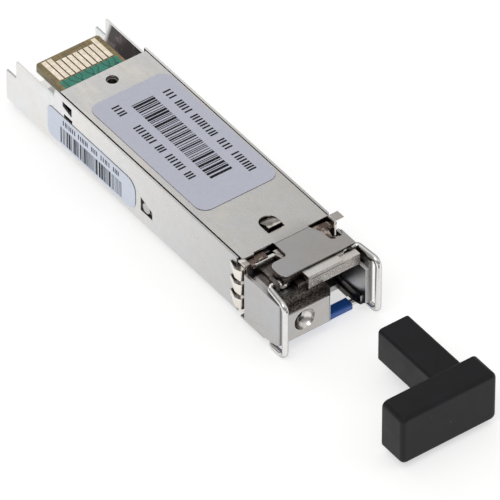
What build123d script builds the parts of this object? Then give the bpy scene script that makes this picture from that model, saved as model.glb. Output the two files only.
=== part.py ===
"""Pluggable single-fibre optical transceiver module with a wire bail latch and a dust plug.

Frame: +Y runs from the fibre port to the card edge, X across the width, +Z towards the face that
carries the latch boss. The origin lies on the centre plane, in the stop plane behind the nose and
on the outer face of the cover's floor. Lengths are in millimetres.
"""
from build123d import *
import os

os.makedirs("parts", exist_ok=True)

# ---------------------------------------------------------------- driving dimensions
BODY_W = 13.4            # width over the cover walls
BODY_H = 8.5             # height over cover floor and latch plate
SHEET = 0.3              # cover and plate sheet thickness
GAP = 0.05               # assembly clearance between neighbouring pieces
SKIRT_END_Y = 47.5       # rear end of the cover's lower skirts
SKIRT_TOP_END_Y = 45.4   # rear end of the skirts' upper part
SKIRT_STEP_Z = 4.7       # height of that step
SKIRT_TOP_Z = 7.4        # skirt edge behind the latch plate
PLATE_END_Y = 36.9       # rear edge of the latch plate

NOSE_W = 13.7
NOSE_FRONT_Y = -7.6
NOSE_TOP_Z = 7.15
LC_PITCH = 6.25          # spacing of the two connector positions
PORT_X = LC_PITCH / 2
PORT_Z = 3.5
PORT_W = 5.1
PORT_H = 5.4
PORT_DEPTH_Y = 2.6       # inner end of the port cavity
NECK_X = 6.2             # half width of the nose's neck inside the cover
NECK_Z = (0.5, 7.85)

BAIL_AXIS_Y = -4.6
BAIL_AXIS_Z = 7.6
BAIL_R = 0.4             # bail wire radius
BAIL_HIP_X = {-1: 6.1, 1: 6.6}      # each leg's distance from the centre plane at the axis
BAIL_LEG_X = {-1: 6.6, 1: 6.9}      # and at the front, where the legs are splayed
BAIL_LEG_Y = -8.45
BAIL_BAR_Y = -5.4
BAIL_BAR_Z = -0.3
BAIL_CRANK = 0.75        # drop of the cam section below the bail's axis
BAIL_SWEEP_R = 7.34      # the nose stays inside this radius about the bail's axis

PIN_Y = -0.4
PIN_Z = 7.5
PIN_R = 0.35
RUN_FIT = 0.03           # radial running clearance
TAB_HINGE_Y = 0.35       # root of the plate's spring tab
LEVER_TOP_Z = 8.12
BROW_END_X = 5.75
BOSS_FRONT_Y = 2.5       # latch shoulder behind the stop plane
BOSS_END_Y = 4.75
BOSS_W = 1.8
BOSS_TOP_Z = BODY_H + 0.42

BOARD_W = 9.2
BOARD_Z = 5.6
BOARD_T = 1.0
BOARD_Y = (16.5, 44.7)
PAD_PITCH = 0.8
PAD_COUNT = 10
PAD_W = 0.64
PAD_T = 0.04
PAD_FRONT_Y = 40.3
PAD_SHORT_Y = 43.4
PAD_LONG_Y = 44.2

BARREL_R = 1.48
FERRULE_BORE_R = 0.63    # takes a 1.25 mm ferrule
SLEEVE_R = 0.88          # outside radius of the split sleeve and its stub
SLEEVE_L = 3.2
BARREL_FRONT_Y = -2.0
OSA_Y = (4.3, 10.1)      # bidirectional optics block
OSA_HALF = 2.5

PLUG_HEAD_W = 13.7
PLUG_HEAD_H = 7.2
PLUG_HEAD_Y = (-31.4, -27.4)
PLUG_STEM_W = 4.5
PLUG_STEM_H = 4.9
PLUG_STEM_L = 11.0

HALF_W = BODY_W / 2
HALF_N = NOSE_W / 2
PLATE_Z = BODY_H - SHEET
PLATE_X = 6.24           # half width of the latch plate; a narrow seam is left to each wall
INNER_X = HALF_W - SHEET
SIDES = (-1, 1)


def block(x, y, z, mode=Mode.ADD):
    """Axis-aligned block between the given (low, high) limits."""
    centre = ((x[0] + x[1]) / 2, (y[0] + y[1]) / 2, (z[0] + z[1]) / 2)
    with Locations(centre):
        Box(x[1] - x[0], y[1] - y[0], z[1] - z[0], mode=mode)


def rod(start, direction, length, radius, mode=Mode.ADD):
    """Round rod from a start point along a direction."""
    with Locations(Plane(origin=start, z_dir=direction)):
        Cylinder(radius, length, align=(Align.CENTER, Align.CENTER, Align.MIN), mode=mode)


def mirrored(limits, side):
    """The (low, high) limits on the chosen side of the centre plane."""
    return tuple(sorted((side * limits[0], side * limits[1])))


def finish(part, name):
    """Label one finished piece and write it."""
    part.label = name
    export_step(part, f"parts/{name}.step")


# ---------------------------------------------------------------- casing
with BuildPart() as wrap_cover:
    block((-HALF_W, HALF_W), (0.95, SKIRT_END_Y), (0, BODY_H - 0.05))
    bend_edges = wrap_cover.edges().filter_by(Axis.Y).group_by(Axis.Z)[0]
    fillet(bend_edges, radius=0.45)
    # the floor starts behind the collar's fingers
    block((-INNER_X, INNER_X), (0, 2.15), (-0.1, SHEET + 0.1), mode=Mode.SUBTRACT)
    block((-INNER_X, INNER_X), (0, SKIRT_END_Y + 1), (SHEET, BODY_H + 1), mode=Mode.SUBTRACT)
    # behind the plate the walls step down, then end short above the lower skirts
    block((-7, 7), (PLATE_END_Y + 0.6, SKIRT_END_Y + 1), (SKIRT_TOP_Z, 9), mode=Mode.SUBTRACT)
    block((-7, 7), (SKIRT_TOP_END_Y, SKIRT_END_Y + 1), (SKIRT_STEP_Z, 9), mode=Mode.SUBTRACT)
    # snap windows over the frame's domes, hook slots and the narrow inspection slits
    for side in SIDES:
        wall = mirrored((INNER_X - 0.2, HALF_W + 0.2), side)
        with BuildSketch(Plane.YZ.offset(wall[0])):
            with BuildLine():
                Polyline((17.75, 2.1), (20.1, 2.1), (20.1, 4.2), (17.75, 3.3), close=True)
            make_face()
        extrude(amount=wall[1] - wall[0], mode=Mode.SUBTRACT)
        with BuildSketch(Plane.YZ.offset(wall[0])):
            with BuildLine():
                FilletPolyline((34.0, 7.95), (34.0, 6.6), (35.85, 7.2), (35.85, 7.95), radius=0.15)
                Line((35.85, 7.95), (34.0, 7.95))
            make_face()
        extrude(amount=wall[1] - wall[0], mode=Mode.SUBTRACT)
        block(wall, (33.9, 35.6), (5.66, 6.18), mode=Mode.SUBTRACT)
finish(wrap_cover.part, "wrap_cover")

with BuildPart() as top_plate:
    with BuildSketch(Plane.XY.offset(PLATE_Z)):
        with BuildLine():
            Polyline(
                (-PLATE_X, TAB_HINGE_Y), (PLATE_X, TAB_HINGE_Y), (PLATE_X, PLATE_END_Y),
                (-PLATE_X, PLATE_END_Y), close=True)
        make_face()
        # window heads beside the neck
        with Locations((-3.15, TAB_HINGE_Y), (4.75, TAB_HINGE_Y)):
            Rectangle(2.9, 0.5, mode=Mode.SUBTRACT)
        # boss opening: flat at the front, rounded at the rear
        with BuildLine():
            Polyline((-1.2, 3.8), (-1.2, 2.2), (1.2, 2.2), (1.2, 3.8))
            ThreePointArc((1.2, 3.8), (0, 4.95), (-1.2, 3.8))
        make_face(mode=Mode.SUBTRACT)
        with Locations((0, 35.05)):
            Circle(0.78, mode=Mode.SUBTRACT)
    extrude(amount=SHEET)
finish(top_plate.part, "top_plate")

TAB_ROOT_Y = TAB_HINGE_Y - 0.03
with BuildPart() as spring_tab:
    with BuildSketch(Plane.XY.offset(PLATE_Z)) as tab_outline:
        with BuildLine():
            # right side of the neck and the rounded window behind the right wing
            FilletPolyline((3.3, TAB_ROOT_Y), (4.0, -1.2), (4.1, -3.1), (5.85, -3.1), (6.0, -2.2),
                           (6.15, -2.2), radius=[0.4, 0.6, 0.6, 0.05])
            # front wing and left side of the neck
            Polyline((6.15, -2.2), (6.15, -5.0), (-4.4, -5.0), (-4.4, -2.2), (-1.7, -2.2),
                     (-1.7, TAB_ROOT_Y), (3.3, TAB_ROOT_Y))
        make_face()
        front_corner = tab_outline.vertices().group_by(Axis.X)[0]
        fillet(front_corner, radius=0.9)
        inner_corner = tab_outline.vertices().filter_by_position(Axis.Y, -2.3, -2.1)
        inner_corner = inner_corner.filter_by_position(Axis.X, -2, 0)
        fillet(inner_corner, radius=0.5)
    extrude(amount=SHEET)
finish(spring_tab.part, "spring_tab")

# ---------------------------------------------------------------- die-cast nose
with BuildPart() as nose_housing:
    with BuildSketch(Plane.YZ.offset(-HALF_N)):
        sweep_low = BAIL_AXIS_Z - BAIL_SWEEP_R
        drop = (BAIL_SWEEP_R**2 - (NOSE_FRONT_Y - BAIL_AXIS_Y) ** 2) ** 0.5
        half_y = -6.2
        half_drop = (BAIL_SWEEP_R**2 - (half_y - BAIL_AXIS_Y) ** 2) ** 0.5
        with BuildLine():
            Polyline((BAIL_AXIS_Y, sweep_low), (BAIL_AXIS_Y, 0), (0, 0), (0, NOSE_TOP_Z),
                     (NOSE_FRONT_Y, NOSE_TOP_Z), (NOSE_FRONT_Y, BAIL_AXIS_Z - drop))
            ThreePointArc((NOSE_FRONT_Y, BAIL_AXIS_Z - drop), (half_y, BAIL_AXIS_Z - half_drop),
                          (BAIL_AXIS_Y, sweep_low))
        make_face()
    extrude(amount=NOSE_W)
    fillet(nose_housing.edges().filter_by(Axis.Z).group_by(Axis.Y)[0], radius=0.3)
    block((-NECK_X, NECK_X), (-0.1, 4.2), NECK_Z)
    # channels behind the bail's legs, inside the side walls
    for side in SIDES:
        block(mirrored((4.75, 6.45), side), (-7.2, -1.4), (6.85, 8), mode=Mode.SUBTRACT)
        block(mirrored((4.75, 6.45), side), (-1.5, -0.1), (6.35, 8), mode=Mode.SUBTRACT)
    # finger pockets behind the side plates
    for side in SIDES:
        block(mirrored((NECK_X, 7.2), side), (-0.75, 0.2), (0.28, 8.2), mode=Mode.SUBTRACT)
    block((-6.3, 6.3), (-0.75, 0.2), (0.28, NECK_Z[0]), mode=Mode.SUBTRACT)
    block((-4.9, 4.9), (-0.75, 0.2), (-0.2, 0.3), mode=Mode.SUBTRACT)
    # connector cavities
    for side, top_z in ((-1, 4.9), (1, PORT_Z + PORT_H / 2)):
        cavity_x = (side * PORT_X - PORT_W / 2, side * PORT_X + PORT_W / 2)
        cavity_z = (PORT_Z - PORT_H / 2, top_z)
        block(cavity_x, (NOSE_FRONT_Y - 0.1, PORT_DEPTH_Y), cavity_z, mode=Mode.SUBTRACT)
    # roof set back behind the lever's brow, deeper on the blanked side
    block((-6.1, 6.15), (-8, -5.83), (PORT_Z + PORT_H / 2, 8), mode=Mode.SUBTRACT)
    block((-6.1, PORT_X - PORT_W / 2 - 0.02), (-8, -6.45), (5.05, 8), mode=Mode.SUBTRACT)
    # seat of the blanking plate
    block((-5.75, 0.45), (-8, NOSE_FRONT_Y + SHEET), (0, 5.1), mode=Mode.SUBTRACT)
    # latch slot through the port's floor
    block((1.0, 5.2), (-8, -2.9), (-0.5, 1.2), mode=Mode.SUBTRACT)
    # guide ledge along the port's outer wall
    block((5.43, 5.7), (-7.0, PORT_DEPTH_Y), (0.7, 1.75))
    # U-shaped seat for the barrel flange, and the barrel's passage
    rod((PORT_X, PORT_DEPTH_Y - 0.1, PORT_Z), (0, 1, 0), 2.2, 2.35, mode=Mode.SUBTRACT)
    block((PORT_X - 2.35, PORT_X + 2.35), (PORT_DEPTH_Y + 0.3, 4.3), (PORT_Z, 6.4),
          mode=Mode.SUBTRACT)
    # recess for the lever, its hub and the hinge pin
    block((-2.45, 2.45), (-1.3, 4.3), (6.55, 8), mode=Mode.SUBTRACT)
    block((-4.7, -2.4), (-1.0, 0.2), (7.1, 8), mode=Mode.SUBTRACT)
    rod((-5.6, PIN_Y, PIN_Z), (1, 0, 0), 9.2, PIN_R + 0.02, mode=Mode.SUBTRACT)
    # pockets swept by the bail's cam sections, and the two bail bearings
    for side in SIDES:
        block(mirrored((2.8, 4.97), side), (-5.85, -3.35), (6.4, 8), mode=Mode.SUBTRACT)
        post_x = mirrored((5.0, 5.5), side)
        block(post_x, (-5.25, -3.8), (6.4, 8.15))
        rod((post_x[0] - 0.1, BAIL_AXIS_Y, BAIL_AXIS_Z), (1, 0, 0), 0.7, BAIL_R + RUN_FIT,
            mode=Mode.SUBTRACT)
finish(nose_housing.part, "nose_housing")

DISH_R = 1.5
DISH_DEPTH = 1.15
DISH_Z = 3.2
with BuildPart() as port_blank:
    block((-5.7, 0.4), (NOSE_FRONT_Y, NOSE_FRONT_Y + SHEET - 0.02), (0.9, 5.0))
    # drawn dish with a small hole through its bottom
    rod((-PORT_X, NOSE_FRONT_Y + 0.1, DISH_Z), (0, 1, 0), DISH_DEPTH + 0.15, DISH_R + 0.14)
    ball_r = (DISH_R**2 + DISH_DEPTH**2) / (2 * DISH_DEPTH)
    with Locations((-PORT_X, NOSE_FRONT_Y + DISH_DEPTH - ball_r, DISH_Z)):
        Sphere(ball_r, mode=Mode.SUBTRACT)
    rod((-PORT_X, NOSE_FRONT_Y, DISH_Z), (0, 1, 0), 2.0, 0.4, mode=Mode.SUBTRACT)
    # spring tongue folded back into the cavity
    block((-5.5, -0.9), (NOSE_FRONT_Y + 0.1, NOSE_FRONT_Y + 3.0), (0.95, 1.2))
finish(port_blank.part, "port_blank")

# ---------------------------------------------------------------- spring collar
COLLAR_T = 0.12
COLLAR_X = NECK_X + 0.05
EAR_L = 1.3
BAND_TOP_Z = 8.05
with BuildPart() as side_fingers:
    # strips curl out of the recess and slope back onto the cover
    for side in SIDES:
        base_x = side * (COLLAR_X + COLLAR_T / 2)
        with BuildSketch(Plane.XY.offset(1.0)):
            with BuildLine():
                FilletPolyline((base_x, 0.4), (base_x, -0.35), (side * 7.0, -0.15),
                               (side * 7.26, 0.5), (side * 6.79, 2.0), radius=0.25)
            trace(line_width=COLLAR_T)
    extrude(amount=6.9)
    # three tapered fingers remain of each strip
    with BuildSketch(Plane.YZ.offset(-8)):
        for low_z in (1.05, 3.3, 5.5):
            with BuildLine():
                Polyline((-0.9, low_z), (2.2, low_z + 1.35), (2.2, low_z + 1.95),
                         (-0.9, low_z + 1.85), close=True)
            make_face()
    extrude(amount=16, mode=Mode.INTERSECT)

with BuildPart() as floor_fingers:
    with BuildSketch(Plane.YZ.offset(-4.6)):
        with BuildLine():
            FilletPolyline((0.3, 0.36), (-0.5, 0.36), (-0.35, -0.25), (0.35, -0.5),
                           (2.0, -0.09), radius=0.2)
        trace(line_width=COLLAR_T)
    extrude(amount=9.2)
    for slot_x in (-2.3, 0, 2.3):
        block((slot_x - 0.25, slot_x + 0.25), (-0.8, 3), (-1, 0.29), mode=Mode.SUBTRACT)

with BuildPart() as emi_collar:
    # band around the neck, open over the lever
    block((-COLLAR_X - COLLAR_T, COLLAR_X + COLLAR_T), (-0.6, 0.9), (0.3, BAND_TOP_Z))
    block((-COLLAR_X, COLLAR_X), (-1, 1), (0.3 + COLLAR_T, BAND_TOP_Z - COLLAR_T), mode=Mode.SUBTRACT)
    block((-3.3, 2.75), (-1, 1), (7, 9), mode=Mode.SUBTRACT)
    add(side_fingers.part)
    add(floor_fingers.part)
    # short tongues lean forward in the wider window
    for low_x, high_x in ((3.0, 3.9), (4.15, 5.2)):
        with BuildSketch(Plane.YZ.offset(low_x)):
            with BuildLine():
                FilletPolyline((0.3, BAND_TOP_Z - COLLAR_T / 2), (-0.75, BAND_TOP_Z - COLLAR_T / 2),
                               (-1.7, 7.35), radius=0.3)
            trace(line_width=COLLAR_T)
        extrude(amount=high_x - low_x)
    # folded ears at the two upper corners
    for side, ear_x, ear_z in ((-1, 6.95, 8.62), (1, 7.45, 8.75)):
        with BuildSketch(Plane.XZ.offset(-0.3)):
            with BuildLine():
                FilletPolyline((side * 5.3, 7.99), (side * 5.9, 7.99), (side * 6.1, ear_z),
                               (side * ear_x, ear_z), radius=0.15)
            trace(line_width=COLLAR_T)
        extrude(amount=EAR_L)
finish(emi_collar.part, "emi_collar")

# ---------------------------------------------------------------- latch
with BuildPart() as lever_pin:
    rod((-5.5, PIN_Y, PIN_Z), (1, 0, 0), 9.0, PIN_R)
    chamfer(lever_pin.edges().filter_by(GeomType.CIRCLE), length=0.08)
finish(lever_pin.part, "lever_pin")

with BuildPart() as latch_lever:
    # rear arm and hub
    block((-1.6, 1.6), (PIN_Y, 4.95), (7.45, 8.05))
    rod((-2.3, PIN_Y, PIN_Z), (1, 0, 0), 4.6, 0.6)
    # front arm over the bail's cam sections
    block((-4.2, 4.2), (-5.0, -2.6), (7.28, LEVER_TOP_Z))
    block((-1.7, 4.2), (-5.9, -4.9), (7.28, LEVER_TOP_Z))
    block((-2.3, 2.3), (-2.7, PIN_Y), (7.28, LEVER_TOP_Z))
    # brow over the port: a drop face with a thin shelf behind it, lower at its outer end
    block((-1.7, BROW_END_X), (-6.4, -5.9), (6.32, LEVER_TOP_Z))
    block((-1.7, BROW_END_X), (-6.4, -5.35), (7.75, LEVER_TOP_Z))
    brow_edge = latch_lever.edges().filter_by(Axis.X).group_by(Axis.Y)[0].sort_by(Axis.Z)[-1]
    chamfer(brow_edge, length=0.12)
    block((3.3, BROW_END_X + 0.1), (-6.5, -5.3), (7.9, 8.5), mode=Mode.SUBTRACT)
    # parting groove along the brow's front
    block((-1.2, 3.4), (-6.5, -6.33), (7.62, 7.71), mode=Mode.SUBTRACT)
    rod((-3, PIN_Y, PIN_Z), (1, 0, 0), 6, PIN_R + RUN_FIT, mode=Mode.SUBTRACT)
    # boss: upright shoulder at the front, insertion ramp at the rear
    with BuildSketch(Plane.YZ.offset(-BOSS_W / 2)):
        with BuildLine():
            Polyline((BOSS_FRONT_Y, 7.9), (BOSS_FRONT_Y, BOSS_TOP_Z), (3.2, BOSS_TOP_Z),
                     (BOSS_END_Y, 8.15), (BOSS_END_Y, 7.9), close=True)
        make_face()
    extrude(amount=BOSS_W)
    boss_corners = latch_lever.edges().filter_by(Axis.Z).filter_by_position(
        Axis.Y, BOSS_END_Y - 0.05, BOSS_END_Y + 0.05)
    fillet(boss_corners, radius=0.2)
finish(latch_lever.part, "latch_lever")

with BuildPart() as bail_wire:
    with BuildLine(mode=Mode.PRIVATE) as bail_path:
        inner = 3.2
        jog_out = 4.8
        jog_in = 4.3
        low_z = BAIL_AXIS_Z - BAIL_CRANK
        halves = {}
        for side in SIDES:
            hip_x, leg_x = BAIL_HIP_X[side], BAIL_LEG_X[side]
            half = [(inner, BAIL_AXIS_Y, low_z), (jog_in, BAIL_AXIS_Y, low_z),
                    (jog_out, BAIL_AXIS_Y, BAIL_AXIS_Z), (hip_x, BAIL_AXIS_Y, BAIL_AXIS_Z),
                    (leg_x, BAIL_LEG_Y, BAIL_AXIS_Z), (leg_x, BAIL_LEG_Y, BAIL_BAR_Z),
                    (leg_x, BAIL_BAR_Y, BAIL_BAR_Z)]
            halves[side] = [(side * x, y, z) for x, y, z in half]
        half_bends = [0.3, 0.3, 0.6, 0.9, 0.9, 0.9]
        bend_radii = half_bends + half_bends[::-1]
        FilletPolyline(halves[1] + halves[-1][::-1], radius=bend_radii)
    with BuildSketch(Plane(origin=(inner, BAIL_AXIS_Y, low_z), z_dir=(1, 0, 0))):
        Circle(BAIL_R)
    sweep(path=bail_path.wires()[0])
finish(bail_wire.part, "bail_wire")

with BuildPart() as bail_grip:
    block((-4.9, 4.9), (BAIL_BAR_Y - 0.75, BAIL_BAR_Y + 0.75), (BAIL_BAR_Z - 0.52, BAIL_BAR_Z + 0.52))
    fillet(bail_grip.edges().filter_by(Axis.X), radius=0.3)
    rod((-5.1, BAIL_BAR_Y, BAIL_BAR_Z), (1, 0, 0), 10.2, BAIL_R + 0.01, mode=Mode.SUBTRACT)
finish(bail_grip.part, "bail_grip")

# ---------------------------------------------------------------- inner frame
with BuildPart() as chassis_frame:
    for side in SIDES:
        rail_z = (SHEET + GAP, PLATE_Z - GAP)
        block(mirrored((5.15, INNER_X - GAP), side), (4.3, 16.0), rail_z)
        block(mirrored((4.75, INNER_X - GAP), side), (15.9, PLATE_END_Y), rail_z)
        # ledge that carries the board
        block(mirrored((4.1, 4.8), side), (16.5, PLATE_END_Y), (3.8, BOARD_Z - 0.02))
        # recess behind the cover's hook slot
        block(mirrored((5.7, 7.0), side), (33.8, 36.0), (5.6, 8.02), mode=Mode.SUBTRACT)
    # low stop beside the board, behind the plate
    block((-INNER_X + GAP, -5.6), (PLATE_END_Y - 0.1, 39.6), (3.8, 7.1))
    # tie bars across the floor and above the board
    for tie_y in (12.0, 24.0, 33.0):
        block((-5.5, 5.5), (tie_y, tie_y + 1.5), (SHEET + GAP, 1.2))
    block((-5, 5), (33.9, 36.4), (7.1, PLATE_Z - GAP))
    rod((0, 35.05, 7.0), (0, 0, 1), 2, 0.6, mode=Mode.SUBTRACT)
    # domes that snap into the cover's windows
    for side in SIDES:
        rod((side * (INNER_X - 0.5), 19.1, 2.95), (side, 0, 0), 0.7, 0.7)
finish(chassis_frame.part, "chassis_frame")

# ---------------------------------------------------------------- optics
with BuildPart() as receptacle_barrel:
    rod((PORT_X, BARREL_FRONT_Y, PORT_Z), (0, 1, 0), OSA_Y[0] - BARREL_FRONT_Y, BARREL_R)
    rod((PORT_X, 2.95, PORT_Z), (0, 1, 0), 0.9, 2.25)
    chamfer(receptacle_barrel.edges().group_by(Axis.Y)[0], length=0.15)
    rod((PORT_X, BARREL_FRONT_Y - 0.1, PORT_Z), (0, 1, 0), 7, SLEEVE_R + 0.02, mode=Mode.SUBTRACT)
finish(receptacle_barrel.part, "receptacle_barrel")

with BuildPart() as split_sleeve:
    sleeve_y = BARREL_FRONT_Y + 0.2
    rod((PORT_X, sleeve_y, PORT_Z), (0, 1, 0), SLEEVE_L, SLEEVE_R)
    rod((PORT_X, sleeve_y - 1, PORT_Z), (0, 1, 0), SLEEVE_L + 2, FERRULE_BORE_R, mode=Mode.SUBTRACT)
    block((PORT_X - 0.08, PORT_X + 0.08), (-3, 4), (PORT_Z, PORT_Z + 2), mode=Mode.SUBTRACT)
finish(split_sleeve.part, "split_sleeve")

with BuildPart() as fibre_stub:
    rod((PORT_X, BARREL_FRONT_Y + 0.2 + SLEEVE_L + 0.02, PORT_Z), (0, 1, 0), 2.8, SLEEVE_R)
finish(fibre_stub.part, "fibre_stub")

with BuildPart() as optics_block:
    block((PORT_X - OSA_HALF, PORT_X + OSA_HALF - 0.95), (OSA_Y[0] + 0.02, OSA_Y[1]), (1.0, 6.0))
    vertical = optics_block.edges().filter_by(Axis.Z)
    fillet(vertical, radius=0.4)
    rod((PORT_X, 4, PORT_Z), (0, 1, 0), 7, 0.9, mode=Mode.SUBTRACT)
    rod((0.2, 7.2, PORT_Z), (1, 0, 0), 2.9, 0.9, mode=Mode.SUBTRACT)
    # slanted slot for the wavelength filter
    with Locations(Location((PORT_X, 7.2, PORT_Z), (0, 0, 45))):
        Box(2.2, 0.34, 2.2, mode=Mode.SUBTRACT)
finish(optics_block.part, "optics_block")

with BuildPart() as wavelength_filter:
    with Locations(Location((PORT_X, 7.2, PORT_Z), (0, 0, 45))):
        Box(2.1, 0.3, 2.1)
finish(wavelength_filter.part, "wavelength_filter")

with BuildPart() as laser_can:
    rod((PORT_X, OSA_Y[1] + 0.02, PORT_Z), (0, 1, 0), 2.0, 1.6)
    rod((PORT_X, OSA_Y[1] + 2.02, PORT_Z), (0, 1, 0), 0.9, 1.9)
finish(laser_can.part, "laser_can")

RECEIVER_X = PORT_X - OSA_HALF - 0.02
with BuildPart() as receiver_can:
    rod((RECEIVER_X, 7.2, PORT_Z), (-1, 0, 0), 2.0, 1.9)
    rod((RECEIVER_X - 2.0, 7.2, PORT_Z), (-1, 0, 0), 0.9, 2.3)
finish(receiver_can.part, "receiver_can")

LEAD_R = 0.225
LEAD_SPREAD = 0.9
with BuildPart() as laser_leads:
    for dx, dz in ((-LEAD_SPREAD, 0), (LEAD_SPREAD, 0), (0, LEAD_SPREAD), (0, -LEAD_SPREAD)):
        rod((PORT_X + dx, OSA_Y[1] + 2.94, PORT_Z + dz), (0, 1, 0), 1.2, LEAD_R)
finish(laser_leads.part, "laser_leads")

with BuildPart() as receiver_leads:
    for dy, dz in ((-LEAD_SPREAD, 0), (LEAD_SPREAD, 0), (0, LEAD_SPREAD), (0, -LEAD_SPREAD)):
        rod((RECEIVER_X - 2.92, 7.2 + dy, PORT_Z + dz), (-1, 0, 0), 0.9, LEAD_R)
finish(receiver_leads.part, "receiver_leads")

FLEX_T = 0.15
with BuildPart() as laser_flex:
    # upright pad behind the laser, rising onto the board
    flex_y = OSA_Y[1] + 2.94 + 1.2 + 0.02
    with BuildSketch(Plane.YZ.offset(PORT_X - 1.4)):
        with BuildLine():
            top_z = BOARD_Z + BOARD_T + FLEX_T / 2 + 0.02
            FilletPolyline((flex_y + FLEX_T / 2, 2.1), (flex_y + FLEX_T / 2, top_z),
                           (19.0, top_z), radius=0.5)
        trace(line_width=FLEX_T)
    extrude(amount=2.8)
finish(laser_flex.part, "laser_flex")

with BuildPart() as receiver_flex:
    # upright pad beside the receiver, turning back along the frame to the board's underside
    flex_x = RECEIVER_X - 2.92 - 0.9 - 0.02 - FLEX_T / 2
    block((flex_x - FLEX_T / 2, flex_x + FLEX_T / 2), (5.6, 19.0), (2.3, 4.7))
    block((flex_x - FLEX_T / 2, flex_x + 1.2), (16.9, 19.0), (4.7, 4.7 + FLEX_T))
finish(receiver_flex.part, "receiver_flex")

with BuildPart() as osa_clamp:
    # bent sheet strap holding the barrel flange down in its seat
    block((0.9, 4.6), (2.95, 9.0), (6.08, 6.28))
finish(osa_clamp.part, "osa_clamp")

with BuildPart() as thermal_pad:
    block((0.8, 4.4), (4.8, 9.8), (SHEET + 0.01, 0.98))
finish(thermal_pad.part, "thermal_pad")

# ---------------------------------------------------------------- circuit board
BOARD_TOP = BOARD_Z + BOARD_T
with BuildPart() as circuit_board:
    with BuildSketch(Plane.XY.offset(BOARD_Z)) as board_outline:
        with Locations((0, (BOARD_Y[0] + BOARD_Y[1]) / 2)):
            Rectangle(BOARD_W, BOARD_Y[1] - BOARD_Y[0])
        rear_corners = board_outline.vertices().group_by(Axis.Y)[-1]
        chamfer(rear_corners, length=0.5)
    extrude(amount=BOARD_T)
    card_edge = circuit_board.faces().sort_by(Axis.Y)[-1].edges().filter_by(Axis.X)
    chamfer(card_edge, length=0.25)
finish(circuit_board.part, "circuit_board")


def contact_row(z):
    """Ten card-edge contacts; the outer and ground contacts reach further back."""
    long_contacts = (0, 1, PAD_COUNT - 1)
    for index in range(PAD_COUNT):
        centre_x = (index - (PAD_COUNT - 1) / 2) * PAD_PITCH
        end_y = PAD_LONG_Y if index in long_contacts else PAD_SHORT_Y
        block((centre_x - PAD_W / 2, centre_x + PAD_W / 2), (PAD_FRONT_Y, end_y), (z, z + PAD_T))


with BuildPart() as contacts_top:
    contact_row(BOARD_TOP + 0.005)
finish(contacts_top.part, "contacts_top")

with BuildPart() as contacts_bottom:
    contact_row(BOARD_Z - PAD_T - 0.005)
finish(contacts_bottom.part, "contacts_bottom")

with BuildPart() as driver_chip:
    block((0.6, 3.6), (21.0, 24.0), (BOARD_TOP + 0.02, BOARD_TOP + 0.87))
finish(driver_chip.part, "driver_chip")

with BuildPart() as controller_chip:
    block((-3.6, 0.0), (26.5, 30.1), (BOARD_TOP + 0.02, BOARD_TOP + 0.87))
finish(controller_chip.part, "controller_chip")

with BuildPart() as amplifier_chip:
    block((-2.6, 0.4), (21.0, 24.0), (BOARD_Z - 0.87, BOARD_Z - 0.02))
finish(amplifier_chip.part, "amplifier_chip")

with BuildPart() as passives:
    # small capacitors and resistors in rows on both faces
    for row_y in (25.2, 31.6, 34.2):
        for column in range(5):
            centre_x = -3.2 + 1.6 * column
            block((centre_x - 0.25, centre_x + 0.25), (row_y, row_y + 0.9),
                  (BOARD_TOP + 0.02, BOARD_TOP + 0.5))
    for row_y in (26.0, 30.0):
        for column in range(4):
            centre_x = -2.4 + 1.6 * column
            block((centre_x - 0.25, centre_x + 0.25), (row_y, row_y + 0.9),
                  (BOARD_Z - 0.5, BOARD_Z - 0.02))
finish(passives.part, "passives")

# ---------------------------------------------------------------- labels
LABEL_T = 0.06
with BuildPart() as top_label:
    with BuildSketch(Plane.XY.offset(BODY_H + 0.005)):
        with Locations((0.3, 21.05)):
            RectangleRounded(11.4, 23.1, 1.5)
    extrude(amount=LABEL_T)
finish(top_label.part, "top_label")

with BuildPart() as side_label:
    with BuildSketch(Plane.YZ.offset(-HALF_W - 0.005 - LABEL_T)) as side_outline:
        with Locations((30.0, 3.3)):
            Rectangle(17.8, 4.6)
        fillet(side_outline.vertices().group_by(Axis.X)[0], radius=1.6)
        fillet(side_outline.vertices().group_by(Axis.X)[-1], radius=0.9)
    extrude(amount=LABEL_T)
finish(side_label.part, "side_label")

# ---------------------------------------------------------------- dust plug
with BuildPart() as dust_plug:
    with BuildSketch(Plane.XZ.offset(-PLUG_HEAD_Y[1])):
        with Locations((0, PLUG_HEAD_H / 2 - 0.1)):
            RectangleRounded(PLUG_HEAD_W, PLUG_HEAD_H, 0.8)
    extrude(amount=PLUG_HEAD_Y[1] - PLUG_HEAD_Y[0])
    head_front = dust_plug.faces().sort_by(Axis.Y)[0]
    fillet(head_front.edges(), radius=0.6)
    with BuildSketch(Plane.XZ.offset(-PLUG_HEAD_Y[1])):
        with Locations((PORT_X, PORT_Z)):
            RectangleRounded(PLUG_STEM_W, PLUG_STEM_H, 0.5)
    extrude(amount=-PLUG_STEM_L)
    # the stem's end is hollow, so that it clears the receptacle barrel
    rod((PORT_X, PLUG_HEAD_Y[1] + PLUG_STEM_L, PORT_Z), (0, -1, 0), 6.0, 1.75, mode=Mode.SUBTRACT)
finish(dust_plug.part, "dust_plug")
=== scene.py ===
"""Looks of the pluggable optical transceiver module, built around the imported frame. Metres."""

import math
import random

import bmesh
import bpy
from mathutils import Matrix, Vector


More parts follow.
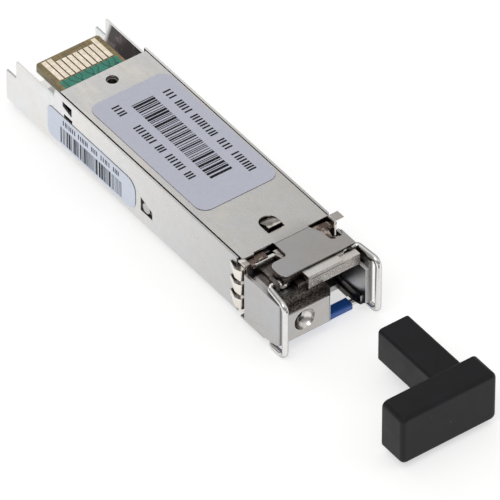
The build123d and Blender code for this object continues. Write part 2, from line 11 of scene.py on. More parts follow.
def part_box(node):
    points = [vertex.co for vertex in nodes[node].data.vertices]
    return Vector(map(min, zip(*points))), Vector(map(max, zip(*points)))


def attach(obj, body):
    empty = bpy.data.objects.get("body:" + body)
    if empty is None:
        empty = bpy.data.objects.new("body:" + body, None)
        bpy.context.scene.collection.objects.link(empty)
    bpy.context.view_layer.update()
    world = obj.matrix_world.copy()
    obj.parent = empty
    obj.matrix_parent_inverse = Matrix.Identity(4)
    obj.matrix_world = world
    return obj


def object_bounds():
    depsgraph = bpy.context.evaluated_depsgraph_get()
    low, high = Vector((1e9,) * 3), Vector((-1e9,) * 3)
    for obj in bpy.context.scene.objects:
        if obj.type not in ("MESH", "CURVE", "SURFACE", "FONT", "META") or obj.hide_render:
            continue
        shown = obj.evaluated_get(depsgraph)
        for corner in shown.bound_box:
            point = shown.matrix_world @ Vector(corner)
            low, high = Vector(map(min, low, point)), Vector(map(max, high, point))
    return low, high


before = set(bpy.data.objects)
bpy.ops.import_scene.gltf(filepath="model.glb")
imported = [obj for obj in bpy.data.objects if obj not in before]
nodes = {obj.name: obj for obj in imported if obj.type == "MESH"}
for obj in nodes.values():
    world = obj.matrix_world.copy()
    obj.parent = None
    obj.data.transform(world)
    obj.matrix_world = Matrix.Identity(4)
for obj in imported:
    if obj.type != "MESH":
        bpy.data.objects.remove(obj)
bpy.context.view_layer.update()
MM = 0.001


# ---------------------------------------------------------------- node helpers
class Shader:
    """A node material with short calls for the nodes that the finishes share."""

    def __init__(self, name):
        self.material = bpy.data.materials.new(name)
        self.material.use_nodes = True
        self.tree = self.material.node_tree
        self.tree.nodes.clear()
        self.bsdf = self.new("ShaderNodeBsdfPrincipled")
        self.output = self.new("ShaderNodeOutputMaterial")
        self.link(self.bsdf.outputs["BSDF"], self.output.inputs["Surface"])
        self.place = self.new("ShaderNodeTexCoord").outputs["Object"]

    def new(self, kind):
        return self.tree.nodes.new(kind)

    def link(self, source, target):
        self.tree.links.new(source, target)

    def set(self, name, value):
        """A constant or a socket into one of the main shader's inputs."""
        if isinstance(value, bpy.types.NodeSocket):
            self.link(value, self.bsdf.inputs[name])
        else:
            self.bsdf.inputs[name].default_value = value

    def stretched(self, scale):
        """Object coordinates stretched per axis."""
        mapping = self.new("ShaderNodeMapping")
        mapping.inputs["Scale"].default_value = scale
        self.link(self.place, mapping.inputs["Vector"])
        return mapping.outputs["Vector"]

    def noise(self, size_mm, detail=3.0, stretch=(1, 1, 1), roughness=0.5):
        """Noise whose features are about size_mm long."""
        node = self.new("ShaderNodeTexNoise")
        node.inputs["Scale"].default_value = 1.0 / (size_mm * MM)
        node.inputs["Detail"].default_value = detail
        node.inputs["Roughness"].default_value = roughness
        self.link(self.stretched(stretch), node.inputs["Vector"])
        return node.outputs["Fac"]

    def cells(self, size_mm):
        """Distance field of a cell pattern about size_mm across."""
        node = self.new("ShaderNodeTexVoronoi")
        node.inputs["Scale"].default_value = 1.0 / (size_mm * MM)
        self.link(self.place, node.inputs["Vector"])
        return node.outputs["Distance"]

    def remap(self, source, low, high, out_low, out_high):
        """A value moved linearly from one range to another, and clamped to its ends."""
        node = self.new("ShaderNodeMapRange")
        for name, value in (("From Min", low), ("From Max", high), ("To Min", out_low),
                            ("To Max", out_high)):
            node.inputs[name].default_value = value
        self.link(source, node.inputs["Value"])
        return node.outputs["Result"]

    def math(self, operation, a, b=0.0):
        """One calculation on two numbers or sockets."""
        node = self.new("ShaderNodeMath")
        node.operation = operation
        for slot, value in enumerate((a, b)):
            if isinstance(value, bpy.types.NodeSocket):
                self.link(value, node.inputs[slot])
            else:
                node.inputs[slot].default_value = value
        return node.outputs[0]

    def product(self, first, *others):
        """All factors multiplied, such as masks that must hold together."""
        for factor in others:
            first = self.math("MULTIPLY", first, factor)
        return first

    def mix(self, factor, a, b):
        """Colour mix of two colours or sockets."""
        node = self.new("ShaderNodeMix")
        node.data_type = "RGBA"
        for socket, value in ((node.inputs[0], factor), (node.inputs[6], a), (node.inputs[7], b)):
            if isinstance(value, bpy.types.NodeSocket):
                self.link(value, socket)
            elif socket is node.inputs[0]:
                socket.default_value = value
            else:
                socket.default_value = (*value, 1.0)
        return node.outputs[2]

    def bump(self, height, distance_mm, below=None):
        """Relief of a given depth, on top of another one if given."""
        node = self.new("ShaderNodeBump")
        node.inputs["Strength"].default_value = 1.0
        node.inputs["Distance"].default_value = distance_mm * MM
        self.link(height, node.inputs["Height"])
        if below is not None:
            self.link(below, node.inputs["Normal"])
        return node.outputs["Normal"]

    def edge_mask(self, radius_mm, gain=6.0):
        """Near 1 where the surface turns within radius_mm, for wear along edges."""
        rounded = self.new("ShaderNodeBevel")
        rounded.samples = 4
        rounded.inputs["Radius"].default_value = radius_mm * MM
        normal = self.new("ShaderNodeNewGeometry").outputs["Normal"]
        dot = self.new("ShaderNodeVectorMath")
        dot.operation = "DOT_PRODUCT"
        self.link(rounded.outputs["Normal"], dot.inputs[0])
        self.link(normal, dot.inputs[1])
        turned = self.math("SUBTRACT", 1.0, dot.outputs["Value"])
        return self.math("MINIMUM", self.math("MULTIPLY", turned, gain), 1.0)

    def parts_of(self, vector):
        """The X, Y and Z outputs of a vector."""
        split = self.new("ShaderNodeSeparateXYZ")
        self.link(vector, split.inputs[0])
        return split.outputs

    def axis(self, name):
        """One object coordinate in metres."""
        return self.parts_of(self.place)[name]

    def facing(self, name, sign):
        """Near 1 where the surface faces along one axis, in the given sense."""
        normal = self.parts_of(self.new("ShaderNodeNewGeometry").outputs["True Normal"])
        return self.remap(normal[name], 0.5 * sign, 0.8 * sign, 0.0, 1.0)

    def between(self, name, low, high, soft_mm=0.05):
        """Near 1 where an object coordinate lies between two values in metres."""
        along = self.axis(name)
        soft = soft_mm * MM
        rise = self.remap(along, low - soft, low, 0.0, 1.0)
        fall = self.remap(along, high, high + soft, 1.0, 0.0)
        return self.math("MULTIPLY", rise, fall)

    def hollow(self, reach_mm, power):
        """0 on open surfaces, rising to 1 deep inside slots and cavities."""
        node = self.new("ShaderNodeAmbientOcclusion")
        node.samples = 6
        node.inputs["Distance"].default_value = reach_mm * MM
        shut = self.math("SUBTRACT", 1.0, node.outputs["AO"])
        return self.math("POWER", shut, power)


# ---------------------------------------------------------------- colours
NICKEL = (0.66, 0.65, 0.635)
WORN = (0.93, 0.92, 0.90)
TAB_REFLECTION_GREY = (0.47, 0.458, 0.45)
HOLLOW_SHADE_BROWN = (0.055, 0.036, 0.028)
SKIRT_SHADE = ((0.022, 0.013, 0.012), (0.17, 0.13, 0.12))
UNDER_LEVER_SHADOW = ((0.05, 0.036, 0.03), (0.20, 0.165, 0.145))
SAND_GRAIN_IN_SHADE = ((0.020, 0.015, 0.013), (0.34, 0.30, 0.27))
SAND_PALE = ((0.26, 0.235, 0.215), (0.70, 0.67, 0.63))
PORT_SHADE = (0.022, 0.014, 0.012)
DISH_SHADE_AND_HIGHLIGHT = ((0.045, 0.028, 0.022), (0.72, 0.70, 0.67))
COLLAR_SHADE_AND_GLINTS = ((0.085, 0.048, 0.036), (0.42, 0.36, 0.31))
GOLD = (0.83, 0.66, 0.36)
LEAD_GOLD = (0.86, 0.70, 0.38)
POLYIMIDE = (0.52, 0.24, 0.03)
CHIP_BLACK = (0.018, 0.018, 0.019)


# ---------------------------------------------------------------- finishes
def plated_metal(name, colour, worn, roughness, wave=0.006, grain=0.0, hollow_mm=1.2):
    """Satin nickel plate: warm and cool patches, painted brown shade in the hollows, bright worn
    edges.
    """
    s = Shader(name)
    patches = s.noise(4.5, 3.0, roughness=0.55)
    clouds = s.noise(1.3, 4.0, roughness=0.6)
    warm = tuple(c * k for c, k in zip(colour, (0.97, 0.945, 0.91)))
    cool = tuple(c * k for c, k in zip(colour, (0.97, 0.985, 1.01)))
    tone = s.mix(s.remap(patches, 0.35, 0.65, 0.0, 1.0), warm, cool)
    tone = s.mix(s.remap(clouds, 0.42, 0.75, 0.0, 0.22), tone, tuple(c * 0.72 for c in colour))
    tone = s.mix(s.product(s.edge_mask(0.10), 0.8), tone, worn)
    # Painted shade: surfaces deep in slots and cavities are darkened towards brown.
    deep = s.math("MINIMUM", s.product(s.hollow(hollow_mm, 1.4), 1.15), 0.93)
    s.colour = s.mix(deep, tone, HOLLOW_SHADE_BROWN)
    s.set("Base Color", s.colour)
    s.set("Metallic", 1.0)
    fine = s.noise(0.6, 3.0, stretch=(1.0, 0.2, 1.0))
    rough = s.remap(patches, 0.3, 0.7, roughness * 0.88, roughness * 1.12)
    s.rough = s.math("ADD", rough, s.remap(fine, 0.3, 0.7, -0.02, 0.02))
    s.set("Roughness", s.rough)
    s.normal = s.bump(s.noise(5.0, 1.0), wave)
    s.normal = s.bump(fine, 0.0003, below=s.normal)
    if grain:
        s.normal = s.bump(s.noise(0.22, 3.0), grain, below=s.normal)
    s.set("Normal", s.normal)
    return s


def cover_metal(name):
    """The wrap cover: pale outside, painted shade towards its front and in dark blotches inside its
    right skirt.
    """
    s = plated_metal(name, (0.83, 0.825, 0.815), WORN, 0.30)
    low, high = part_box("wrap_cover")
    # Painted shade: the cover is greyed more and more towards its front end.
    front_shade = s.remap(s.axis("Y"), low.y, high.y - 12 * MM, 0.62, 0.0)
    s.colour = s.mix(front_shade, s.colour, (0.42, 0.42, 0.425))
    plate_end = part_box("top_plate")[1].y
    # Painted shade in noisy dark blotches on the inner face of the right skirt, behind the plate's
    # end.
    inside = s.product(s.facing("X", -1), s.remap(s.axis("X"), 0.0, 1.0 * MM, 0.0, 1.0))
    slant = s.math("ADD", s.axis("Y"), s.product(s.axis("Z"), 0.35))
    ahead = s.remap(slant, high.y - 1.0 * MM, high.y - 0.3 * MM, 1.0, 0.0)
    behind = s.remap(s.axis("Y"), plate_end - 1.0 * MM, plate_end, 0.0, 1.0)
    skirt_shade_blots = s.mix(s.remap(s.noise(1.6, 4.0), 0.50, 0.72, 0.0, 1.0), *SKIRT_SHADE)
    s.set("Base Color", s.mix(s.product(inside, ahead, behind, 0.98), s.colour, skirt_shade_blots))
    return s


def plate_metal(name):
    """The latch plate, with a painted darker reflection over the bend where its spring tab begins.
    """
    s = plated_metal(name, NICKEL, WORN, 0.27)
    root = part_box("spring_tab")[1].y
    # Painted reflection: the plate is greyed near the tab root, as the bent tab reflects darker
    # surroundings.
    near = s.remap(s.axis("Y"), root - 0.1 * MM, root + 2.2 * MM, 0.85, 0.0)
    beside = s.between("X", -0.9 * MM, 3.0 * MM, 1.2)
    s.set("Base Color", s.mix(s.product(near, beside), s.colour, TAB_REFLECTION_GREY))
    return s


def housing_metal(name):
    """The die-cast nose: plain sides, painted shadow under the lever, painted shade above the blank
    and in the port.
    """
    s = plated_metal(name, (0.52, 0.515, 0.515), (0.84, 0.83, 0.81), 0.29, grain=0.0008)
    lever_low, lever_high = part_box("latch_lever")
    # Painted shadow of the lever on the nose face below it.
    under = s.product(s.between("X", lever_low.x - 1.4 * MM, lever_high.x, 0.1),
                      s.between("Y", lever_low.y - 0.2 * MM, -0.8 * MM, 0.1))
    high_up = s.remap(s.axis("Z"), lever_low.z + 0.05 * MM, lever_low.z + 0.15 * MM, 0.0, 0.86)
    shadow_tone = s.mix(s.remap(s.noise(0.8, 3.0), 0.45, 0.7, 0, 1), *UNDER_LEVER_SHADOW)
    s.colour = s.mix(s.product(under, high_up), s.colour, shadow_tone)
    blank_low, blank_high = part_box("port_blank")
    # Painted shade on the face above the blank, under the brow; the speckle in it is the casting's
    # sand grain.
    above = s.remap(s.axis("Z"), blank_high.z - 0.2 * MM, blank_high.z - 0.05 * MM, 0.0, 1.0)
    left = s.remap(s.axis("X"), blank_high.x + 0.1 * MM, blank_high.x + 0.2 * MM, 1.0, 0.0)
    inner = s.remap(s.axis("X"), blank_low.x - 0.55 * MM, blank_low.x - 0.45 * MM, 0.0, 1.0)
    front = s.remap(s.axis("Y"), blank_low.y + 1.7 * MM, blank_low.y + 1.9 * MM, 1.0, 0.0)
    mask = s.product(above, left, inner, front, 0.97)
    speckle = s.remap(s.noise(0.21, 4.0, roughness=0.7), 0.42, 0.62, 0.0, 1.0)
    shaded_grain = s.mix(mask, s.colour, s.mix(speckle, *SAND_GRAIN_IN_SHADE))
    right_wall = s.product(s.facing("X", -1), s.remap(s.axis("X"), 4.0 * MM, 4.5 * MM, 0.0, 1.0))
    slope = s.math("ADD", s.axis("Z"), s.product(s.axis("Y"), 0.35))
    low_down = s.remap(slope, blank_high.z - 5.05 * MM, blank_high.z - 4.45 * MM, 0.93, 0.0)
    s.set("Base Color", s.mix(s.product(right_wall, low_down), shaded_grain, PORT_SHADE))
    s.set("Roughness", s.math("ADD", s.rough, s.product(mask, 0.25)))
    return s


def blank_metal(name):
    """The blanking plate: bright sheet, with painted brown shade on one side of its drawn dish and
    painted highlight on the other.
    """
    s = plated_metal(name, (0.50, 0.485, 0.475), WORN, 0.22, hollow_mm=0.1)
    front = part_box("port_blank")[0].y
    inside = s.remap(s.axis("Y"), front + 0.02 * MM, front + 0.12 * MM, 0.0, 1.0)
    # Painted light and shade in the dish: faces turned up and towards -X are pale, the rest dark
    # brown.
    normal = s.parts_of(s.new("ShaderNodeNewGeometry").outputs["Normal"])
    lean = s.math("ADD", s.product(normal["Z"], 0.6), s.product(normal["X"], -0.9))
    dish = s.mix(s.remap(lean, -0.05, 0.55, 0.0, 1.0), *DISH_SHADE_AND_HIGHLIGHT)
    s.set("Base Color", s.mix(inside, s.colour, dish))
    return s


def collar_metal(name):
    """The spring collar: bright fingers, painted shade with painted glints on the band under the
    plate's windows.
    """
    s = plated_metal(name, (0.86, 0.81, 0.75), WORN, 0.16, hollow_mm=0.8)
    pin_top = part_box("lever_pin")[1].z
    top = s.remap(s.axis("Z"), pin_top - 0.8 * MM, pin_top - 0.6 * MM, 0.0, 1.0)
    inner = s.remap(s.math("ABSOLUTE", s.axis("X")), 5.9 * MM, 6.1 * MM, 1.0, 0.0)
    band = s.product(top, inner, 0.9)
    # Painted shade broken by painted glints on the band below the pin's top, inside the collar's
    # sides.
    painted_glints = s.mix(s.remap(s.noise(0.7, 3.0), 0.52, 0.64, 0, 1), *COLLAR_SHADE_AND_GLINTS)
    # Painted shade: faces turned upwards are greyed.
    upward_shade = s.product(s.facing("Z", 1), 0.8)
    s.colour = s.mix(upward_shade, s.colour, (0.42, 0.40, 0.38))
    s.set("Base Color", s.mix(band, s.colour, painted_glints))
    return s


def lever_metal(name):
    """The latch rocker: sand-like front on its brow, and painted shade on the boss in front and on
    top.
    """
    s = plated_metal(name, (0.80, 0.775, 0.74), WORN, 0.24, grain=0.001)
    front = s.product(s.facing("Y", -1), s.remap(s.axis("Y"), -6.1 * MM, -5.9 * MM, 1.0, 0.0))
    speckle = s.remap(s.noise(0.15, 4.0, roughness=0.75), 0.45, 0.62, 0.0, 1.0)
    sandy = s.mix(speckle, *SAND_PALE)
    # Painted shade behind the brow: near black on the boss front, patchy dark brown on its top.
    behind = s.remap(s.axis("Y"), -5.3 * MM, -5.2 * MM, 0.0, 0.93)
    boss = s.product(s.facing("Y", -1), behind)
    boss_top = s.product(s.facing("Z", 1), behind)
    fade = s.remap(s.noise(1.1, 2.0), 0.40, 0.60, 0.15, 0.75)
    sanded = s.mix(s.product(front, 0.85), s.colour, sandy)
    topped = s.mix(s.product(boss_top, fade), sanded, (0.13, 0.095, 0.08))
    s.set("Base Color", s.mix(boss, topped, (0.05, 0.03, 0.025)))
    s.set("Normal", s.bump(s.product(front, speckle), 0.012, below=s.normal))
    return s


def bright_wire(name, colour, roughness):
    """Drawn and polished steel with faint lengthwise marks, and painted dark reflections where it
    turns away from view.
    """
    s = Shader(name)
    marks = s.noise(0.5, 4.0)
    tone = s.mix(s.remap(marks, 0.35, 0.65, 0, 1), tuple(c * 0.93 for c in colour), colour)
    # Painted reflection: the colour darkens where the surface turns away from the camera.
    rim = s.new("ShaderNodeLayerWeight")
    rim.inputs["Blend"].default_value = 0.5
    turned = s.remap(rim.outputs["Facing"], 0.42, 0.80, 0.0, 0.82)
    s.set("Base Color", s.mix(turned, tone, tuple(c * 0.17 for c in colour)))
    s.set("Metallic", 1.0)
    s.set("Roughness", s.remap(marks, 0.3, 0.7, roughness * 0.7, roughness * 1.5))
    s.set("Normal", s.bump(s.noise(0.8, 2.0), 0.006))
    return s.material


def printed_film(name, colour):
    """Matt label film: faint fibre mottling, a slight gloss and a paler cut edge."""
    s = Shader(name)
    mottle = s.noise(0.4, 5.0, roughness=0.7)
    pale = tuple(min(1.0, c * 1.06) for c in colour)
    tone = s.mix(s.remap(mottle, 0.3, 0.7, 0, 1), tuple(c * 0.97 for c in colour), pale)
    s.set("Base Color", s.mix(s.edge_mask(0.05), tone, (0.80, 0.80, 0.82)))
    s.set("Roughness", s.remap(mottle, 0.3, 0.7, 0.38, 0.52))
    s.set("Specular IOR Level", 0.35)
    wrinkles = s.bump(s.noise(4.0, 2.0), 0.012)
    s.set("Normal", s.bump(mottle, 0.002, below=wrinkles))
    return s.material


def moulded_plastic(name, colour, roughness, grain_mm=0.12, grain=0.004, worn=None):
    """Moulded plastic or rubber with a fine spark-eroded grain and rubbed edges."""
    s = Shader(name)
    clouds = s.noise(2.0, 4.0)
    tone = s.mix(s.remap(clouds, 0.3, 0.7, 0, 1), tuple(c * 0.85 for c in colour), colour)
    if worn:
        tone = s.mix(s.product(s.edge_mask(0.25), 0.7), tone, worn)
    s.set("Base Color", tone)
    s.set("Roughness", s.remap(clouds, 0.3, 0.7, roughness * 0.88, roughness * 1.12))
    s.set("Normal", s.bump(s.noise(grain_mm, 3.0), grain))
    return s.material


def dusty_rubber(name):
    """Black moulded rubber: soft sheen, faint flow marks and scattered pale specks."""
    s = Shader(name)
    clouds = s.noise(2.4, 5.0, roughness=0.6)
    black = s.mix(s.remap(clouds, 0.3, 0.7, 0, 1),
                  (0.0060, 0.0060, 0.0072), (0.0105, 0.010, 0.0125))
    specks = s.remap(s.cells(1.3), 0.0, 0.06, 1.0, 0.0)
    rare = s.remap(s.noise(2.3, 1.0), 0.60, 0.66, 0.0, 1.0)
    dust = s.product(specks, rare)
    rubbed = s.mix(s.product(s.edge_mask(0.5, 3.0), 0.30), black, (0.035, 0.035, 0.04))
    s.set("Base Color", s.mix(s.math("MINIMUM", dust, 0.8), rubbed, (0.20, 0.20, 0.21)))
    s.set("Roughness", s.remap(clouds, 0.3, 0.7, 0.42, 0.54))
    s.set("Specular IOR Level", 0.22)
    normal = s.bump(s.noise(0.10, 3.0), 0.005)
    s.set("Normal", s.bump(s.noise(3.0, 2.0), 0.02, below=normal))
    return s.material


def board_laminate(name):
    """Solder mask over weave, a bare olive margin at the card edge and tan cut edges."""
    s = Shader(name)
    low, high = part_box("contacts_top")
    weave_x = s.noise(0.35, 2.0, stretch=(1, 0.15, 1))
    weave_y = s.noise(0.35, 2.0, stretch=(0.15, 1, 1))
    weave = s.math("ADD", weave_x, weave_y)
    mask = s.mix(s.remap(weave, 0.8, 1.2, 0, 1), (0.014, 0.20, 0.135), (0.024, 0.28, 0.195))
    bare = s.mix(s.remap(weave, 0.8, 1.2, 0, 1), (0.17, 0.125, 0.050), (0.30, 0.225, 0.10))
    behind = s.remap(s.axis("Y"), low.y - 0.25 * MM, low.y - 0.15 * MM, 0.0, 1.0)
    across = s.math("ABSOLUTE", s.axis("X"))
    outside = s.remap(across, high.x + 0.18 * MM, high.x + 0.24 * MM, 0.0, 1.0)
    gap = s.between("Y", low.y, high.y - 0.9 * MM)
    pads = s.remap(across, high.x - 0.05 * MM, high.x, 1.0, 0.0)
    shown = s.mix(s.product(gap, pads, 0.9), bare, (0.012, 0.009, 0.006))
    face = s.mix(s.math("MAXIMUM", behind, outside), mask, shown)
    normal = s.parts_of(s.new("ShaderNodeNewGeometry").outputs["Normal"])
    flat = s.remap(s.math("ABSOLUTE", normal["Z"]), 0.4, 0.8, 0.0, 1.0)
    layers = s.noise(0.12, 1.0, stretch=(0.05, 0.05, 1.0))
    cut = s.mix(s.remap(layers, 0.4, 0.6, 0, 1), (0.36, 0.30, 0.16), (0.52, 0.46, 0.28))
    s.set("Base Color", s.mix(flat, cut, face))
    s.set("Roughness", s.remap(weave, 0.7, 1.3, 0.22, 0.36))
    s.set("Normal", s.bump(weave, 0.004))
    return s.material


def coated_glass(name):
    """Thin filter glass with a faint coated tint."""
    s = Shader(name)
    s.set("Base Color", (0.80, 0.86, 0.95, 1.0))
    s.set("Transmission Weight", 0.85)
    s.set("Roughness", s.remap(s.noise(0.5), 0.3, 0.7, 0.02, 0.08))
    s.set("IOR", 1.5)
    return s.material


def printed_ink(name, colour):
    """Thermal-transfer ink, slightly broken up."""
    s = Shader(name)
    breaks = s.noise(0.12, 3.0)
    pale = tuple(c + 0.05 for c in colour)
    s.set("Base Color", s.mix(s.remap(breaks, 0.30, 0.42, 0, 1), pale, colour))
    s.set("Roughness", 0.5)
    s.set("Specular IOR Level", 0.15)
    return s.material


def floor_white(name):
    """Matt white sweep with a trace of tone, clear when seen from below."""
    s = Shader(name)
    tone = s.remap(s.noise(60.0, 2.0), 0.3, 0.7, 0.60, 0.62)
    grey = s.new("ShaderNodeCombineColor")
    for channel in ("Red", "Green", "Blue"):
        s.link(tone, grey.inputs[channel])
    s.set("Base Color", grey.outputs[0])
    s.set("Roughness", 0.85)
    s.set("Specular IOR Level", 0.1)
    s.set("Emission Color", (1.0, 1.0, 1.0, 1.0))
    s.set("Emission Strength", 0.56)
    surface = s.new("ShaderNodeMixShader")
    s.link(s.new("ShaderNodeNewGeometry").outputs["Backfacing"], surface.inputs[0])
    s.link(s.bsdf.outputs["BSDF"], surface.inputs[1])
    s.link(s.new("ShaderNodeBsdfTransparent").outputs[0], surface.inputs[2])
    s.link(surface.outputs[0], s.output.inputs["Surface"])
    return s.material


FINISHES = {
    "wrap_cover": cover_metal("cover_nickel").material,
    "top_plate": plate_metal("plate_nickel").material,
    # The spring tab's darker grey is a painted reflection of darker surroundings on its tilted
    # face.
    "spring_tab": plated_metal("tab_nickel", TAB_REFLECTION_GREY, (0.72, 0.70, 0.68), 0.30).material,
    "port_blank": blank_metal("blank_nickel").material,
    "nose_housing": housing_metal("nose_casting").material,
    "chassis_frame": plated_metal("frame_casting", (0.56, 0.55, 0.54), WORN, 0.36,
                                  grain=0.002).material,
    "latch_lever": lever_metal("lever_casting").material,
    "emi_collar": collar_metal("collar_spring").material,
    "osa_clamp": plated_metal("clamp_spring", (0.60, 0.57, 0.53), WORN, 0.22).material,
    "optics_block": plated_metal("optics_metal", (0.68, 0.66, 0.62), WORN, 0.25).material,
    "bail_wire": bright_wire("bail_steel", (0.80, 0.795, 0.78), 0.12),
    "lever_pin": bright_wire("pin_steel", (0.72, 0.71, 0.69), 0.16),
    "receptacle_barrel": bright_wire("barrel_steel", (0.74, 0.73, 0.71), 0.2),
    "bail_grip": moulded_plastic("blue_nylon", (0.016, 0.10, 0.42), 0.38, worn=(0.08, 0.22, 0.60)),
    "split_sleeve": moulded_plastic("zirconia", (0.86, 0.85, 0.80), 0.12, grain=0.001),
    "fibre_stub": moulded_plastic("zirconia_stub", (0.90, 0.89, 0.85), 0.10, grain=0.001),
    "laser_can": bright_wire("laser_gold", GOLD, 0.2),
    "receiver_can": bright_wire("receiver_gold", GOLD, 0.2),
    "laser_leads": bright_wire("lead_gold", LEAD_GOLD, 0.22),
    "receiver_leads": bright_wire("receiver_lead_gold", LEAD_GOLD, 0.22),
    "laser_flex": moulded_plastic("laser_polyimide", POLYIMIDE, 0.3),
    "receiver_flex": moulded_plastic("receiver_polyimide", POLYIMIDE, 0.3),
    "thermal_pad": moulded_plastic("gap_filler", (0.30, 0.33, 0.38), 0.7, grain=0.01),
    "circuit_board": board_laminate("board_laminate"),
    "contacts_top": bright_wire("contact_gold", (0.97, 0.86, 0.70), 0.30),
    "contacts_bottom": bright_wire("contact_gold_low", (0.95, 0.80, 0.55), 0.25),
    "driver_chip": moulded_plastic("driver_epoxy", CHIP_BLACK, 0.5),
    "controller_chip": moulded_plastic("controller_epoxy", CHIP_BLACK, 0.5),
    "amplifier_chip": moulded_plastic("amplifier_epoxy", CHIP_BLACK, 0.5),
    "passives": moulded_plastic("chip_ceramic", (0.42, 0.33, 0.22), 0.45),
    "wavelength_filter": coated_glass("filter_glass"),
    "top_label": printed_film("top_label_film", (0.56, 0.575, 0.67)),
    "side_label": printed_film("side_label_film", (0.68, 0.73, 0.84)),
    "dust_plug": dusty_rubber("plug_rubber"),
}
BEVELS_MM = {"wrap_cover": 0.04, "top_plate": 0.05, "spring_tab": 0.06, "port_blank": 0.05,
             "nose_housing": 0.09, "chassis_frame": 0.08, "latch_lever": 0.08, "emi_collar": 0.02,
             "optics_block": 0.08, "circuit_board": 0.02, "driver_chip": 0.04,
             "controller_chip": 0.04, "amplifier_chip": 0.04, "passives": 0.03,
             "dust_plug": 0.12, "osa_clamp": 0.03, "thermal_pad": 0.08,
             "contacts_top": 0.008, "contacts_bottom": 0.008}


def dress(name, material):
    """Finish on a CAD node, with small edge rounds as modifiers."""
    node = nodes[name]
    node.data.materials.clear()
    node.data.materials.append(material)
    weld = node.modifiers.new("weld", "WELD")
    weld.merge_threshold = 0.0005 * MM
    flat = node.modifiers.new("flat_faces", "DECIMATE")
    flat.decimate_type = "DISSOLVE"
    flat.angle_limit = math.radians(0.5)
    width = BEVELS_MM.get(name, 0.0)
    if width:
        bevel = node.modifiers.new("edges", "BEVEL")
        bevel.width = width * MM
        bevel.segments = 2
        bevel.limit_method = "ANGLE"
        bevel.angle_limit = math.radians(35)
    for polygon in node.data.polygons:
        polygon.use_smooth = True
    smooth = node.modifiers.new("normals", "WEIGHTED_NORMAL")
    smooth.keep_sharp = True


for node_name, finish in FINISHES.items():
    dress(node_name, finish)


# ---------------------------------------------------------------- printed marks
def add_slab(mesh, corners):
    """A closed slab from four corners below and the same four above."""
    verts = [mesh.verts.new(corner) for corner in corners]
    mesh.faces.new([verts[i] for i in (3, 2, 1, 0)])
    mesh.faces.new([verts[i] for i in (4, 5, 6, 7)])
    for i in range(4):
        after = (i + 1) % 4
        mesh.faces.new([verts[k] for k in (i, after, after + 4, i + 4)])


def linked_object(name, mesh):
    """A scene object from a finished bmesh."""
    data = bpy.data.meshes.new(name)
    mesh.to_mesh(data)
    mesh.free()
    piece = bpy.data.objects.new(name, data)
    bpy.context.scene.collection.objects.link(piece)
    return piece


def slab_mesh(name, rectangles, place, thickness):
    """One mesh of thin slabs; place(u, v, height) gives the point for a label position."""
    mesh = bmesh.new()
    for u0, u1, v0, v1 in rectangles:
        outline = ((u0, v0), (u1, v0), (u1, v1), (u0, v1))
        add_slab(mesh, [place(u, v, h) for h in (0.0, thickness) for u, v in outline])
    bmesh.ops.recalc_face_normals(mesh, faces=mesh.faces)
    return linked_object(name, mesh)


def bar_widths(rng, length, module):
    """Alternating bar and space lengths of one to three modules, filling a length."""
    position, bars = 0.0, []
    while position < length - 3 * module:
        bar = module * rng.choice((1, 1, 2, 3))
        bars.append((position, position + bar))
        position += bar + module * rng.choice((1, 1, 2))
    return bars


def dash_row(rng, start, end, low, high, stroke):
    """Groups of short strokes from start to end along v, a plain filler for a line of print."""
    marks, at = [], start
    while at < end - 6 * stroke:
        for _ in range(rng.randint(3, 9)):
            if at > end - stroke:
                break
            marks.append((low, high, at, at + stroke))
            at += stroke * rng.choice((1.7, 2.0, 2.4))
        at += 2.6 * stroke
    return marks


INK = printed_ink("label_ink", (0.006, 0.006, 0.010))
INK_THICKNESS = 0.004 * MM


def print_labels():
    """Bars and dash rows in mm from each label's corner, none of them readable."""
    rng = random.Random(11)
    low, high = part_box("top_label")

    def on_top(u, v, height):
        return Vector((low.x + u * MM, low.y + v * MM, high.z + height))

    marks = [(4.4, 7.55, 4.3 + a, 4.3 + b) for a, b in bar_widths(rng, 16.4, 0.13)]
    marks += dash_row(rng, 2.7, 20.7, 8.8, 9.9, 0.26)
    marks += dash_row(rng, 5.7, 17.9, 2.2, 3.3, 0.26)
    marks += dash_row(rng, 19.5, 21.9, 2.2, 3.3, 0.26)
    piece = slab_mesh("top_label_print", marks, on_top, INK_THICKNESS)
    piece.data.materials.append(INK)
    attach(piece, "module")

    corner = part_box("side_label")[0]

    def on_side(u, v, height):
        return Vector((corner.x - height, corner.y + v * MM, corner.z + u * MM))

    marks = [(0.35, 2.75, 2.8 + a, 2.8 + b) for a, b in bar_widths(rng, 12.6, 0.12)]
    marks += dash_row(rng, 3.3, 14.7, 3.3, 4.05, 0.18)
    piece = slab_mesh("side_label_print", marks, on_side, INK_THICKNESS)
    piece.data.materials.append(INK)
    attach(piece, "module")


print_labels()


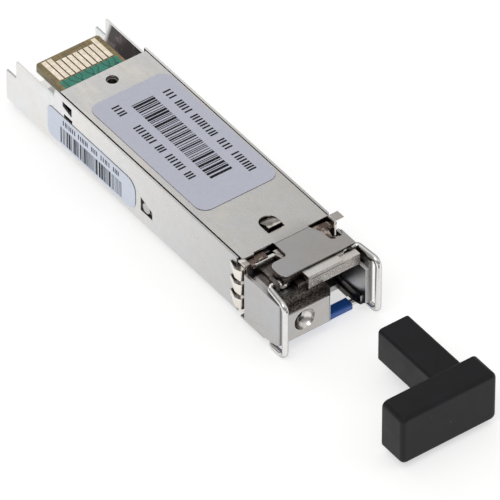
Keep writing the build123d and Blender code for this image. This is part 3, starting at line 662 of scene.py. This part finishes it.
def board_traces():
    """Copper tracks under the solder mask, from every contact back under the cover, and vias."""
    low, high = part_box("contacts_top")
    board_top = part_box("circuit_board")[1].z
    count = 10
    pitch = (high.x - low.x) / (count - 0.2)
    shift = (0.0, 0.5, 0.25, -0.25, 0.35, -0.2, -0.45, 0.3, -0.5, -0.2)
    width, lift = 0.11 * MM, 0.012 * MM
    mesh = bmesh.new()

    def ribbon(start, end):
        along = (end - start).normalized()
        side = Vector((-along.y, along.x, 0)) * width / 2
        corners = [start - side, end - side, end + side, start + side]
        add_slab(mesh, [c + Vector((0, 0, up)) for up in (0.0, lift) for c in corners])

    for index in range(count):
        x = low.x + (index + 0.4) * pitch
        jog = shift[index] * 2 * MM
        points = [Vector((x, low.y - 0.02 * MM, board_top))]
        points.append(points[0] + Vector((0, -0.7 * MM, 0)))
        points.append(points[1] + Vector((jog, -abs(jog) - 0.3 * MM, 0)))
        points.append(points[2] + Vector((0, -9.0 * MM, 0)))
        for start, end in zip(points, points[1:]):
            ribbon(start, end)
    for x, y in ((-3.4, 38.2), (-1.1, 37.9), (0.9, 38.6), (2.4, 38.1), (3.5, 38.9)):
        place = Matrix.Translation((x * MM, y * MM, board_top + lift / 2))
        bmesh.ops.create_cone(mesh, cap_ends=True, segments=20, radius1=0.2 * MM, radius2=0.17 * MM,
                              depth=lift, matrix=place)
    bmesh.ops.recalc_face_normals(mesh, faces=mesh.faces)
    piece = linked_object("board_traces", mesh)
    copper = moulded_plastic("masked_copper", (0.006, 0.095, 0.062), 0.3, grain=0.001)
    piece.data.materials.append(copper)
    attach(piece, "module")


board_traces()


# ---------------------------------------------------------------- stage, light and camera
def build_stage():
    """A plain floor just under the lowest point."""
    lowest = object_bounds()[0][2]
    mesh = bmesh.new()
    bmesh.ops.create_grid(mesh, x_segments=1, y_segments=1, size=3.0)
    floor = linked_object("floor", mesh)
    floor.location = (0, 0, lowest - 0.02 * MM)
    floor.data.materials.append(floor_white("floor_white"))


def area_light(name, position, target, size, power):
    """A soft rectangular lamp that points at a target."""
    light = bpy.data.lights.new(name, "AREA")
    light.shape = "RECTANGLE"
    light.size, light.size_y = size
    light.energy = power
    lamp = bpy.data.objects.new(name, light)
    lamp.location = position
    lamp.rotation_euler = (Vector(target) - Vector(position)).to_track_quat("-Z", "Y").to_euler()
    bpy.context.scene.collection.objects.link(lamp)


def build_light():
    """A grey gradient world, pale overhead and dim to the sides, and three soft lamps."""
    world = bpy.data.worlds.new("studio")
    bpy.context.scene.world = world
    world.use_nodes = True
    tree = world.node_tree
    tree.nodes.clear()
    output = tree.nodes.new("ShaderNodeOutputWorld")
    background = tree.nodes.new("ShaderNodeBackground")
    tree.links.new(background.outputs[0], output.inputs[0])
    place = tree.nodes.new("ShaderNodeTexCoord")
    split = tree.nodes.new("ShaderNodeSeparateXYZ")
    tree.links.new(place.outputs["Generated"], split.inputs[0])
    ramp = tree.nodes.new("ShaderNodeValToRGB")
    tree.links.new(split.outputs["Z"], ramp.inputs["Fac"])
    stops = ((0.0, 0.85), (0.25, 0.32), (0.60, 0.40), (0.80, 0.85), (1.0, 1.0))
    ramp.color_ramp.elements[0].position, ramp.color_ramp.elements[1].position = 0.0, 1.0
    for position, _ in stops[1:-1]:
        ramp.color_ramp.elements.new(position)
    for element, (position, level) in zip(ramp.color_ramp.elements, stops):
        element.position = position
        element.color = (level, level * 0.995, level * 0.985, 1.0)
    tree.links.new(ramp.outputs[0], background.inputs["Color"])
    background.inputs["Strength"].default_value = 0.9
    area_light("key", (-0.35, -0.15, 0.55), (0, 0.01, 0), (0.35, 0.35), 0.75)
    area_light("fill", (0.40, -0.35, 0.35), (0, 0, 0), (0.4, 0.3), 0.25)
    area_light("back", (0.1, 0.55, 0.45), (0, 0.02, 0), (0.5, 0.2), 0.3)


def build_camera():
    """Long lens, 36.3 degrees round to the left and 42.3 degrees above the module."""
    azimuth, elevation = math.radians(-36.3), math.radians(42.3)
    target = Vector((1.76, 9.83, -1.32)) * MM
    distance = 1.1443
    back = Vector((math.sin(azimuth) * math.cos(elevation),
                   -math.cos(azimuth) * math.cos(elevation), math.sin(elevation)))
    data = bpy.data.cameras.new("camera")
    data.sensor_width = 36.0
    data.lens = 698.8
    data.clip_start = 0.01
    data.clip_end = 20.0
    camera = bpy.data.objects.new("camera", data)
    camera.location = target + back * distance
    camera.rotation_euler = (-back).to_track_quat("-Z", "Y").to_euler()
    bpy.context.scene.collection.objects.link(camera)
    bpy.context.scene.camera = camera


build_stage()
build_light()
build_camera()
bpy.context.scene.view_settings.view_transform = "Standard"
bpy.context.scene.view_settings.look = "None"
